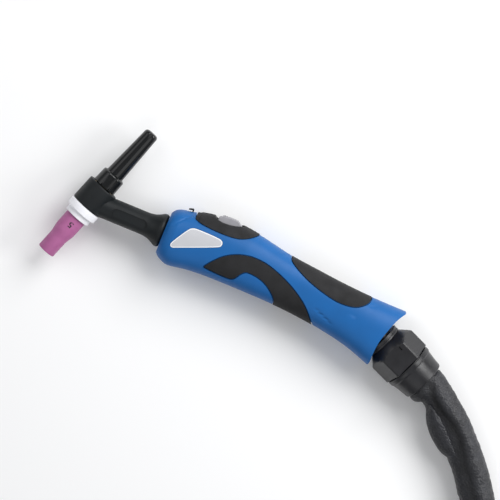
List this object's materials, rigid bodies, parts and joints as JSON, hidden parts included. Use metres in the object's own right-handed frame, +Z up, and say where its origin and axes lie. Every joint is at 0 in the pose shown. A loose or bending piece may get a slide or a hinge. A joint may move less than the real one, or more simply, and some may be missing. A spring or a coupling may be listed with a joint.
{
  "type": "tig welding torch",
  "caption": "Hand torch for TIG welding with ceramic nozzle, angled head, trigger handle, ball joint, leather-covered hose and coiled cable with a machine plug.",
  "frame": {"origin": "on the table, under the middle of the torch without its hose and cable; the torch lies on its side", "axes": "+X along the neck from the head to the cable, +Y towards the trigger, +Z up from the table, square to the plane where the handle shells meet"},
  "size_m": [0.5154, 0.5878, 0.0416],
  "materials": {
    "alumina": "semi-gloss pressed alumina",
    "ptfe": "satin turned PTFE",
    "copper": "turned copper",
    "tungsten": "centreless ground",
    "brass": "turned brass",
    "head_rubber": "satin moulded rubber",
    "phenolic": "glossy moulded phenolic",
    "seal_rubber": "moulded rubber",
    "blue_nylon": "satin moulded nylon",
    "grip_rubber": "matt moulded thermoplastic rubber",
    "label": "printed label film",
    "zinc_steel": "zinc plated",
    "button_nylon": "moulded nylon",
    "cable_rubber": "matt extruded rubber",
    "black_nylon": "satin moulded nylon",
    "acetal": "moulded acetal",
    "leather": "black grained leather"
  },
  "bodies": {
    "hose_end": {"joint_nut": "black_nylon", "hose_clamp": "black_nylon", "leather_cover": "leather", "leather_end_boot": "cable_rubber", "cable_lead_in": "cable_rubber", "cable_coil": "cable_rubber", "cable_tail": "cable_rubber", "plug_boot": "cable_rubber", "plug_body": "phenolic", "power_pin": "brass", "gas_spigot": "brass", "contact_pin_1": "brass", "contact_pin_2": "brass"},
    "ball": {"joint_ball": "black_nylon"},
    "seat": {"ball_seat": "acetal"},
    "handle": {"collet_body": "copper", "collet": "copper", "head_core": "brass", "head_cover": "head_rubber", "neck_tube": "copper", "shell_left": "blue_nylon", "shell_right": "blue_nylon", "arch_grip_left": "grip_rubber", "arch_grip_right": "grip_rubber", "rear_grip_left": "grip_rubber", "rear_grip_right": "grip_rubber", "badge_left": "label", "badge_right": "label", "handle_screw_1": "zinc_steel", "handle_screw_2": "zinc_steel", "handle_screw_3": "zinc_steel", "handle_screw_4": "zinc_steel", "switch_panel": "grip_rubber", "trigger_pin": "zinc_steel", "latch_hook": "black_nylon", "switch_bracket": "black_nylon", "micro_switch": "phenolic", "switch_lead": "cable_rubber", "cable_coupling": "brass", "coupling_sleeve": "seal_rubber", "power_cable_end": "cable_rubber"},
    "trigger": {"trigger_button": "button_nylon"},
    "plunger": {"switch_plunger": "button_nylon"},
    "shield": {"heat_shield": "ptfe"},
    "nozzle": {"ceramic_nozzle": "alumina"},
    "cap_seal": {"back_cap_seal": "seal_rubber"},
    "cap": {"back_cap": "phenolic"},
    "electrode": {"tungsten_electrode": "tungsten"},
    "plug_lock": {"plug_ring": "black_nylon"}
  },
  "joints": [
    {"name": "handle_twist", "type": "hinge", "parent": "hose_end", "child": "ball", "pos_m": [0.10024, -0.01433, 0.0208], "axis": [0.9205, -0.3907, 0], "range_deg": [-30, 30]},
    {"name": "handle_lift", "type": "hinge", "parent": "ball", "child": "seat", "pos_m": [0.10024, -0.01433, 0.0208], "axis": [0.3907, 0.9205, 0], "range_deg": [-8, 8]},
    {"name": "handle_swing", "type": "hinge", "parent": "seat", "child": "handle", "pos_m": [0.10024, -0.01433, 0.0208], "axis": [0, 0, 1], "range_deg": [-20, 2]},
    {"name": "trigger_press", "type": "hinge", "parent": "handle", "child": "trigger", "pos_m": [-0.01917, 0.01317, 0.0208], "axis": [0, 0, 1], "range_deg": [0, 5], "stiffness_Nm_per_rad": 0.5, "springref_deg": -1.15},
    {"name": "plunger_slide", "type": "slide", "parent": "handle", "child": "plunger", "axis": [0, -1, 0], "range_m": [0, 0.0015]},
    {"name": "nozzle_draw", "type": "slide", "parent": "handle", "child": "shield", "axis": [-0.342, -0.9397, 0], "range_m": [0, 0.008]},
    {"name": "nozzle_turn", "type": "hinge", "parent": "shield", "child": "nozzle", "pos_m": [-0.14516, -0.00883, 0.0208], "axis": [-0.342, -0.9397, 0], "range_deg": [0, 2160]},
    {"name": "cap_draw", "type": "slide", "parent": "handle", "child": "cap_seal", "axis": [0.342, 0.9397, 0], "range_m": [0, 0.009]},
    {"name": "cap_turn", "type": "hinge", "parent": "cap_seal", "child": "cap", "pos_m": [-0.14516, -0.00883, 0.0208], "axis": [0.342, 0.9397, 0], "range_deg": [0, 2520]},
    {"name": "electrode_slide", "type": "slide", "parent": "handle", "child": "electrode", "axis": [-0.342, -0.9397, 0], "range_m": [-0.003, 0.008]},
    {"name": "plug_lock_turn", "type": "hinge", "parent": "hose_end", "child": "plug_lock", "pos_m": [0.15135, -0.40027, 0.0179], "axis": [-0.7175, 0.6965, 0], "range_deg": [0, 60]}
  ],
  "couplings": [
    {"joint": "plunger_slide", "follows": "trigger_press", "m_per_rad": 0.017},
    {"joint": "nozzle_draw", "follows": "nozzle_turn", "m_per_rad": 0.00019894},
    {"joint": "cap_draw", "follows": "cap_turn", "m_per_rad": 0.00019894}
  ]
}
